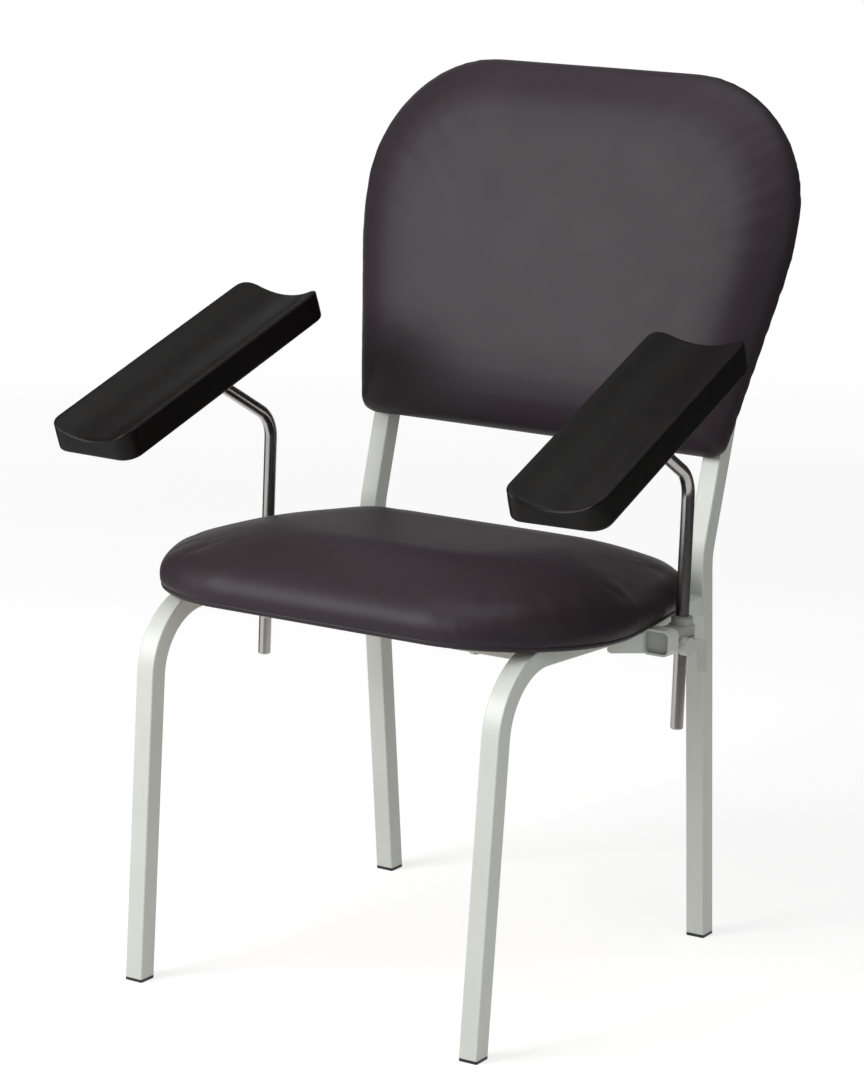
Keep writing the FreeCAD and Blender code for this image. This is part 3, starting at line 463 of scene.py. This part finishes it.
def upholstered(name, node, board, hem=False):
    """A cushion's cover: the surface of its CAD solid, evened, with fine creases and a slow relief."""
    centre, axes, half = plate_frame(board)
    piece = linked(name, NODES[node].data.copy())
    remesh = piece.modifiers.new("voxels", "REMESH")
    remesh.mode = "VOXEL"
    remesh.voxel_size = VOXEL
    applied(piece)
    mesh = piece.data
    edges, start = mesh_edges(mesh), coordinates(mesh)
    local, facing = (start - centre) @ axes, normals(mesh) @ axes
    above = local[:, 2] + half[2]
    inwards = np.einsum("ij,ij->i", facing[:, :2], unit(local[:, :2])) < FACING_MIDDLE
    inner = (above < 2 * half[2] + CAVITY_MARGIN) & ((facing[:, 2] < FACING_BACK) | inwards)
    free = np.where(inner, 0, eased(above, 0, HEM_HEIGHT))
    pull = np.where(inner, 0, PULL)
    start = smoothed(start, edges, pull, EVEN_ROUNDS)
    start = smoothed(start, edges, pull * eased(above, *SPREAD_HEIGHT), SPREAD_ROUNDS)
    place_points(mesh, start)
    points = start.copy()
    points += creases(piece, edges, start, free)
    points = smoothed(points, edges, PULL * free, LAST_ROUNDS)
    place_points(mesh, points)
    relief = np.array([noise.noise(Vector(point) / RELIEF_SPREAD) for point in points])
    points += normals(mesh) * (relief * RELIEF * free)[:, None]
    place_points(mesh, points)
    subdivided(piece)
    if hem:
        add_hem(piece, centre, axes, half, local)
    finished(piece, "vinyl")
    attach(piece, "frame")
    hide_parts(node)


# Hem: the cover turned under the board, pleated at the corners and stapled

HEM_EDGE = 12 * MM
HEM_SPACING = 4 * MM
# Millimetres outwards from the cushion's outline and up from the board's underside
HEM_PROFILE = ((-32, -0.1), (-32, -1.2), (-12, -1.5), (-7, -1.6), (-4.2, -1.2), (-2.3, 0.1), (-1.3, 2.2),
               (-1.2, 5), (-5, 5), (-6, 1), (-12, -0.1))
HEM_THICKNESS = 1.2 * MM
OUTLINE_ROUNDS = 6
PLEAT = 0.7 * MM
PLEAT_WAVE = 11 * MM
PLEAT_BEND = (2, 5)
PLEAT_LEVEL = -1
PLEAT_INSET = 12
STAPLE_INSET = 24 * MM
STAPLE_STEP = 30 * MM
STAPLE_HALF = 5 * MM
STAPLE_LEG = 3 * MM
STAPLE_WIRE = 0.55 * MM
WIRE_SIDES = 6


def outline_path(flat, spacing):
    """Evenly spaced points round the hull of flat points, with outward directions and how much it bends."""
    hull = np.array([flat[index] for index in geometry.convex_hull_2d([Vector(point) for point in flat])])
    if np.cross(hull[1] - hull[0], hull[2] - hull[1]) < 0:
        hull = hull[::-1]
    path = resampled(np.vstack([hull, hull[:1]]), spacing)[0][:-1]
    for _ in range(OUTLINE_ROUNDS):
        path = (np.roll(path, 1, axis=0) + 2 * path + np.roll(path, -1, axis=0)) / 4
    along = unit(np.roll(path, -1, axis=0) - np.roll(path, 1, axis=0))
    outward = np.column_stack([along[:, 1], -along[:, 0]])
    bend = np.linalg.norm(np.roll(along, -1, axis=0) - np.roll(along, 1, axis=0), axis=1) / (2 * spacing)
    return path, outward, bend


def add_hem(piece, centre, axes, half, local):
    """Joins the cover's turned edge to the piece and staples it to the board."""
    path, outward, bend = outline_path(local[local[:, 2] < HEM_EDGE - half[2]][:, :2], HEM_SPACING)
    station = np.arange(len(path)) * HEM_SPACING
    pleat = PLEAT * eased(bend, *PLEAT_BEND) * np.abs(np.sin(math.pi * station / PLEAT_WAVE))
    rings = []
    for inset, level in HEM_PROFILE + HEM_PROFILE[:1]:
        flat = path + outward * (inset * MM)
        depth = np.where(level < PLEAT_LEVEL, pleat * min(1, -inset / PLEAT_INSET), 0)
        rings.append(np.column_stack([flat, level * MM - half[2] - depth]) @ axes.T + centre)
    hem = linked(piece.name + "_hem", ringed_mesh("hem", rings))
    hem.data.shade_smooth()
    with bpy.context.temp_override(active_object=piece, selected_editable_objects=[piece, hem]):
        bpy.ops.object.join()

    staples = []
    count = round(len(path) * HEM_SPACING / STAPLE_STEP)
    for step in range(count):
        index = round(step * len(path) / count)
        low = -half[2] - HEM_THICKNESS - pleat[index]
        points = staple_path(path[index], outward[index], low) @ axes.T + centre
        normal = axes @ np.array((*outward[index], 0))
        staples.append(ringed_mesh("staple", wire(points, STAPLE_WIRE, normal)))
    join_meshes("seat_staples", staples, "zinc_steel", "frame")


def staple_path(place, outward, low):
    """A staple's line, from one leg's end to the other's, with its back below this level."""
    along = np.array((-outward[1], outward[0]))
    middle = place - outward * STAPLE_INSET
    begin, end = middle - along * STAPLE_HALF, middle + along * STAPLE_HALF
    return np.array([
        (*begin, low + STAPLE_LEG), (*begin, low), (*(begin + along * MM), low - STAPLE_WIRE),
        (*(end - along * MM), low - STAPLE_WIRE), (*end, low), (*end, low + STAPLE_LEG)])


def wire(points, radius, normal):
    """Rings round an open path that lies square to the normal, closed at both ends."""
    along = unit(np.gradient(points, axis=0))
    rings = rings_round(points, along, normal, np.full(len(points), radius), WIRE_SIDES)
    return [np.tile(points[0], (WIRE_SIDES, 1))] + rings + [np.tile(points[-1], (WIRE_SIDES, 1))]


# Arm pads: moulded foam with a trough for the forearm

PAD_CORNER = 22 * MM
PAD_TOP_EDGE = 5.5 * MM
PAD_LOW_EDGE = 4 * MM
PAD_RIM = 4.7 * MM
PAD_CAVITY = 12.6 * MM
TROUGH_WIDTH = 112 * MM
TROUGH_DEPTH = 16.5 * MM
TROUGH_BLEND = 4 * MM
PAD_BULGE = 0.5 * MM
PAD_SPACING = 5 * MM
CAVITY_SHARES = (1.0, 0.66, 0.33)
SIDE_SHARES = (0.25, 0.5, 0.75)
LOW_EDGE_STEPS = 4
TOP_EDGE_STEPS = 6
TROUGH_STEPS = 14


def rounded_path(half_width, half_length, corner, spacing):
    """Points, with their outward directions, round a rounded rectangle."""
    straight_x, straight_y = half_width - corner, half_length - corner
    points, outward = [], []
    corners = [(1, -1, -90), (1, 1, 0), (-1, 1, 90), (-1, -1, 180)]
    steps = max(4, round(corner * math.pi / 2 / spacing))
    for index, (side, end, begin) in enumerate(corners):
        for step in range(steps + 1):
            angle = math.radians(begin + 90 * step / steps)
            away = np.array((math.cos(angle), math.sin(angle)))
            points.append(np.array((side * straight_x, end * straight_y)) + corner * away)
            outward.append(away)
        next_side, next_end, _ = corners[(index + 1) % 4]
        gap = 2 * (straight_y if next_side == side else straight_x)
        count = max(1, round(gap / spacing))
        last = points[-1]
        along = np.array((next_side * straight_x, next_end * straight_y)) + corner * outward[-1] - last
        for step in range(1, count):
            points.append(last + along * step / count)
            outward.append(outward[-1])
    return np.array(points), np.array(outward)


def trough_level(x, height):
    """Height of the pad's top, with the crest between trough and rim softened."""
    half = TROUGH_WIDTH / 2
    radius = (half * half + TROUGH_DEPTH * TROUGH_DEPTH) / (2 * TROUGH_DEPTH)
    bowl = height - TROUGH_DEPTH + radius - np.sqrt(np.maximum(radius * radius - x * x, 0))
    gap = bowl - height
    return height + 0.5 * (gap - np.sqrt(gap * gap + TROUGH_BLEND * TROUGH_BLEND))


def quarter_turn(steps):
    return [math.radians(90 * step / steps) for step in range(steps + 1)]


def pad_rings(half, height):
    """Closed rings of points, from the cavity's middle round the outside to the trough's middle."""
    path, outward = rounded_path(half[0], half[1], PAD_CORNER, PAD_SPACING)
    medial = np.column_stack([np.zeros(len(path)), np.clip(path[:, 1], half[0] - half[1], half[1] - half[0])])

    def ring(inset, level):
        return np.column_stack([path - outward * inset, np.broadcast_to(level, len(path))])

    def towards_middle(points, share):
        return points[:, :2] * (1 - share) + medial * share

    rim = ring(PAD_RIM, PAD_CAVITY)
    rings = [np.column_stack([towards_middle(rim, share), rim[:, 2]]) for share in CAVITY_SHARES]
    rings += [rim, ring(PAD_RIM, PAD_CAVITY / 2), ring(PAD_RIM, 0)]
    for angle in quarter_turn(LOW_EDGE_STEPS):
        rings.append(ring(PAD_LOW_EDGE * (1 - math.sin(angle)), PAD_LOW_EDGE * (1 - math.cos(angle))))
    top_edge = trough_level(path[:, 0], height) - PAD_TOP_EDGE
    for share in SIDE_SHARES:
        level = PAD_LOW_EDGE + (top_edge - PAD_LOW_EDGE) * share
        rings.append(ring(PAD_BULGE * (2 * share - 1) ** 2, level))
    for angle in quarter_turn(TOP_EDGE_STEPS):
        inset = PAD_TOP_EDGE * (1 - math.cos(angle)) + (PAD_BULGE if angle == 0 else 0)
        flat = path - outward * inset
        level = trough_level(flat[:, 0], height) - PAD_TOP_EDGE * (1 - math.sin(angle))
        rings.append(np.column_stack([flat, level]))
    last = rings[-1]
    for share in np.linspace(0, 1, TROUGH_STEPS + 1)[1:]:
        flat = towards_middle(last, share)
        rings.append(np.column_stack([flat, trough_level(flat[:, 0], height)]))
    return rings


def arm_pad(side):
    centre, axes, _ = plate_frame("arm_board_" + side)
    local = (coordinates(NODES["arm_pad_" + side].data) - centre) @ axes
    low, high = local.min(axis=0), local.max(axis=0)
    origin = centre + axes[:, 2] * low[2]
    rings = [ring @ axes.T + origin for ring in pad_rings((high - low) / 2, high[2] - low[2])]
    piece = linked("forearm_pad_" + side, ringed_mesh("forearm_pad_" + side, rings))
    subdivided(piece)
    finished(piece, "arm_foam")
    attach(piece, "arm_" + side)
    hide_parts("arm_pad_" + side)


# Small metal pieces keep their CAD shape, with the sharp edges eased

EDGES = {
    "clamp_block_": 0.9 * MM,
    "clamp_lever_": 1.2 * MM,
    "arm_bracket_": 0.6 * MM,
    "clamp_nut_": 0.5 * MM,
    "clamp_stud_": 0.4 * MM,
    "arm_plate_": 0.5 * MM,
    "arm_screws_": 0.5 * MM,
    "seat_screws": 0.6 * MM,
    "back_screws": 0.6 * MM,
    "foot_": 0.5 * MM,
    "upright_plug_": 0.8 * MM,
}
SHARP = math.radians(35)
FLAT = math.radians(0.5)
EDGE_SEGMENTS = 3
FLAT_FACE_WEIGHT = 100


def ease_edges(node, width):
    """Joins the node's triangles into faces and bevels what is sharp between them."""
    weld = node.modifiers.new("weld", "WELD")
    weld.merge_threshold = 0.1 * SAME_POINT
    whole = node.modifiers.new("whole_faces", "DECIMATE")
    whole.decimate_type = "DISSOLVE"
    whole.angle_limit = FLAT
    bevel = node.modifiers.new("eased_edges", "BEVEL")
    bevel.width = width
    bevel.segments = EDGE_SEGMENTS
    bevel.limit_method = "ANGLE"
    bevel.angle_limit = SHARP
    even = node.modifiers.new("even_shading", "WEIGHTED_NORMAL")
    even.keep_sharp = False
    even.weight = FLAT_FACE_WEIGHT


def ease_all():
    for prefix, width in EDGES.items():
        for name, node in NODES.items():
            if name.startswith(prefix):
                ease_edges(node, width)


# Weld beads, with the finish of what they join

BEAD = 1.9 * MM
BEAD_STEP = 0.8 * MM
BEAD_RIPPLE = 0.1
BEAD_WAVE = 3.4 * MM
BEAD_SIDES = 8
UPRIGHT_GAP = 0.8 * MM
CROSS_TUBE_GAP = 0.4 * MM
STITCH = 24 * MM
STITCH_ENDS = (14 * MM, 38 * MM)
STITCH_APART = 5 * MM
STITCH_REACH = 10 * MM


def bead(points, normal, closed):
    """A rippled bead along a flat path."""
    path, stations = resampled(np.vstack([points, points[:1]]) if closed else points, BEAD_STEP)
    along = np.gradient(path, axis=0)
    if closed:
        along[0] = along[-1] = path[1] - path[-2]
    along = unit(along)
    radii = BEAD * (1 + BEAD_RIPPLE * np.sin(2 * math.pi * stations / BEAD_WAVE))
    rings = rings_round(path, along, normal, radii, BEAD_SIDES)
    if not closed:
        rings = [np.tile(path[0] - along[0] * BEAD / 2, (BEAD_SIDES, 1))] + rings
        rings += [np.tile(path[-1] + along[-1] * BEAD / 2, (BEAD_SIDES, 1))]
    return ringed_mesh("bead", rings)


def contact(first, second, gap):
    """The first node's points that lie within a gap of the second."""
    mesh = NODES[second].data
    faces = [face.vertices[:] for face in mesh.polygons]
    tree = BVHTree.FromPolygons([point.co for point in mesh.vertices], faces)
    near = [point.co for point in NODES[first].data.vertices
            if tree.find_nearest(point.co, gap)[0] is not None]
    return np.array(near)


def joint_bead(points):
    """A bead round the outline in which one tube meets another."""
    centre = points.mean(axis=0)
    axes = np.linalg.svd(points - centre, full_matrices=False)[2]
    flat = (points - centre) @ axes[:2].T
    hull = geometry.convex_hull_2d([Vector(point) for point in flat])
    return bead(np.array([flat[index] @ axes[:2] + centre for index in hull]), axes[2], True)


def weld_frame():
    meshes = []
    for side in SIDES:
        rail = "side_tube_" + side
        meshes.append(joint_bead(contact(rail, "rear_upright_" + side, UPRIGHT_GAP)))
        for end in ("front", "rear"):
            meshes.append(joint_bead(contact("cross_tube_" + end, rail, CROSS_TUBE_GAP)))
    join_meshes("frame_welds", meshes, "frame_paint", "frame")


def weld_rod(side):
    """Two stitches along each side of the rod, under its plate."""
    centre, axes, half = plate_frame("arm_plate_" + side)
    rod = (coordinates(NODES["arm_rod_" + side].data) - centre) @ axes
    under = rod[rod[:, 2] > -half[2] - STITCH_REACH][:, 1]
    first, last = under.min() + STITCH_ENDS[0], under.max() - STITCH_ENDS[1]
    meshes = []
    for edge in (-STITCH_APART, STITCH_APART):
        for begin in (first, last):
            stitch = np.array([(edge, place, -half[2] - MM) for place in (begin, begin + STITCH)])
            meshes.append(bead(stitch @ axes.T + centre, axes[:, 2], False))
    join_meshes("rod_weld_" + side, meshes, "rod_chrome", "arm_" + side)


# Studio: a pale floor that fades to white, soft light from the front left

FLOOR_RADIUS = 12.0
FLOOR_SIDES = 96
FLOOR_FADE = (1.6, 4.5)
FLOOR_OWN_LIGHT = 0.7
FLOOR_SHADED = 0.42
FLOOR_UNSEEN = 0.7
WORLD_LEVEL = 0.34
SCREEN_STEPS = 24


def camera_like(nodes, links):
    """1 for camera, glossy and transmission rays, 0 for the rays that light the object."""
    path = nodes.new("ShaderNodeLightPath")
    total = path.outputs["Is Camera Ray"]
    for label in ("Is Glossy Ray", "Is Transmission Ray"):
        add = nodes.new("ShaderNodeMath")
        add.operation = "ADD"
        add.use_clamp = True
        links.new(total, add.inputs[0])
        links.new(path.outputs[label], add.inputs[1])
        total = add.outputs["Value"]
    return total


def mixed(nodes, links, factor, first, second):
    """The first shader where the factor is 0, the second where it is 1."""
    mix = nodes.new("ShaderNodeMixShader")
    links.new(factor, mix.inputs["Fac"])
    links.new(first, mix.inputs[1])
    links.new(second, mix.inputs[2])
    return mix.outputs["Shader"]


def floor_material():
    """Pale and shaded near the object, white further off, and plain for the rays that light the object."""
    material = bpy.data.materials.new("studio_floor")
    material.use_nodes = True
    nodes, links = material.node_tree.nodes, material.node_tree.links
    nodes.clear()

    def diffuse(level):
        shader = nodes.new("ShaderNodeBsdfDiffuse")
        shader.inputs["Color"].default_value = (level, level, level, 1)
        return shader.outputs["BSDF"]

    def glow(level):
        shader = nodes.new("ShaderNodeEmission")
        shader.inputs["Strength"].default_value = level
        return shader.outputs["Emission"]

    near = nodes.new("ShaderNodeAddShader")
    links.new(diffuse(FLOOR_SHADED), near.inputs[0])
    links.new(glow(FLOOR_OWN_LIGHT), near.inputs[1])
    place = nodes.new("ShaderNodeTexCoord")
    reach = nodes.new("ShaderNodeVectorMath")
    reach.operation = "LENGTH"
    links.new(place.outputs["Object"], reach.inputs[0])
    fade = nodes.new("ShaderNodeMapRange")
    fade.interpolation_type = "SMOOTHSTEP"
    fade.inputs["From Min"].default_value, fade.inputs["From Max"].default_value = FLOOR_FADE
    links.new(reach.outputs["Value"], fade.inputs["Value"])
    seen = mixed(nodes, links, fade.outputs["Result"], near.outputs["Shader"], glow(1.0))
    surface = mixed(nodes, links, camera_like(nodes, links), diffuse(FLOOR_UNSEEN), seen)
    output = nodes.new("ShaderNodeOutputMaterial")
    links.new(surface, output.inputs["Surface"])
    return material


def add_floor():
    mesh = bpy.data.meshes.new("floor")
    made = bmesh.new()
    bmesh.ops.create_circle(made, cap_ends=True, segments=FLOOR_SIDES, radius=FLOOR_RADIUS)
    made.to_mesh(mesh)
    made.free()
    floor = linked("floor", mesh)
    mesh.materials.append(floor_material())


def add_world(level):
    world = bpy.data.worlds.new("studio")
    bpy.context.scene.world = world
    world.use_nodes = True
    nodes, links = world.node_tree.nodes, world.node_tree.links
    nodes.clear()
    shades = []
    for strength in (level, 1.0):
        shade = nodes.new("ShaderNodeBackground")
        shade.inputs["Color"].default_value = (1, 1, 1, 1)
        shade.inputs["Strength"].default_value = strength
        shades.append(shade.outputs["Background"])
    output = nodes.new("ShaderNodeOutputWorld")
    links.new(mixed(nodes, links, camera_like(nodes, links), *shades), output.inputs["Surface"])


def softbox(name, azimuth, elevation, distance, size, power, aim=(0, 0, 0.6)):
    """A rectangular lamp that faces the aim."""
    lamp = bpy.data.lights.new(name, "AREA")
    lamp.shape = "RECTANGLE"
    lamp.size, lamp.size_y = size
    lamp.energy = power
    lit = bpy.data.objects.new(name, lamp)
    away = direction(azimuth, elevation)
    lit.location = Vector(aim) + away * distance
    lit.rotation_mode = "QUATERNION"
    lit.rotation_quaternion = away.to_track_quat("Z", "Y")
    bpy.context.scene.collection.objects.link(lit)


def screen(name, level, azimuths, distance, heights):
    """A curved screen that only reflections see, as a studio sets beside a glossy object."""
    mesh = bpy.data.meshes.new(name)
    points, faces = [], []
    for step, azimuth in enumerate(np.linspace(*azimuths, SCREEN_STEPS + 1)):
        foot = direction(azimuth, 0) * distance
        points += [(foot.x, foot.y, height) for height in heights]
        if step:
            faces.append((2 * step - 2, 2 * step, 2 * step + 1, 2 * step - 1))
    mesh.from_pydata(points, [], faces)
    board = linked(name, mesh)
    material = bpy.data.materials.new(name)
    material.use_nodes = True
    shader = material.node_tree.nodes["Principled BSDF"]
    shader.inputs["Base Color"].default_value = (level, level, level, 1)
    mesh.materials.append(material)
    board.visible_camera = board.visible_diffuse = board.visible_shadow = False
    board.visible_transmission = False


def light_studio():
    add_world(WORLD_LEVEL)
    softbox("key", azimuth=-31, elevation=23, distance=3.4, size=(1.8, 1.7), power=90, aim=(0, 0.1, 0.75))
    softbox("fill", azimuth=62, elevation=18, distance=4.0, size=(2.0, 2.0), power=25)
    softbox("top", azimuth=0, elevation=80, distance=2.6, size=(2.2, 2.2), power=22)
    screen("dark_screen_right", level=0.03, azimuths=(5, 185), distance=1.5, heights=(0.02, 3.0))
    screen("dark_screen_behind", level=0.03, azimuths=(185, 245), distance=1.5, heights=(0.8, 3.0))
    screen("dark_screen_left", level=0.03, azimuths=(245, 290), distance=1.5, heights=(0.02, 3.0))
    screen("pale_screen", level=0.5, azimuths=(195, 250), distance=1.4, heights=(1.15, 1.9))


add_camera()
dress_cad()
ease_all()
upholstered("seat_vinyl", "seat_cushion", "seat_board", hem=True)
upholstered("back_vinyl", "back_cushion", "back_board")
weld_frame()
for side in SIDES:
    weld_rod(side)
    arm_pad(side)
add_floor()
light_studio()
bpy.context.scene.view_settings.view_transform = "Standard"
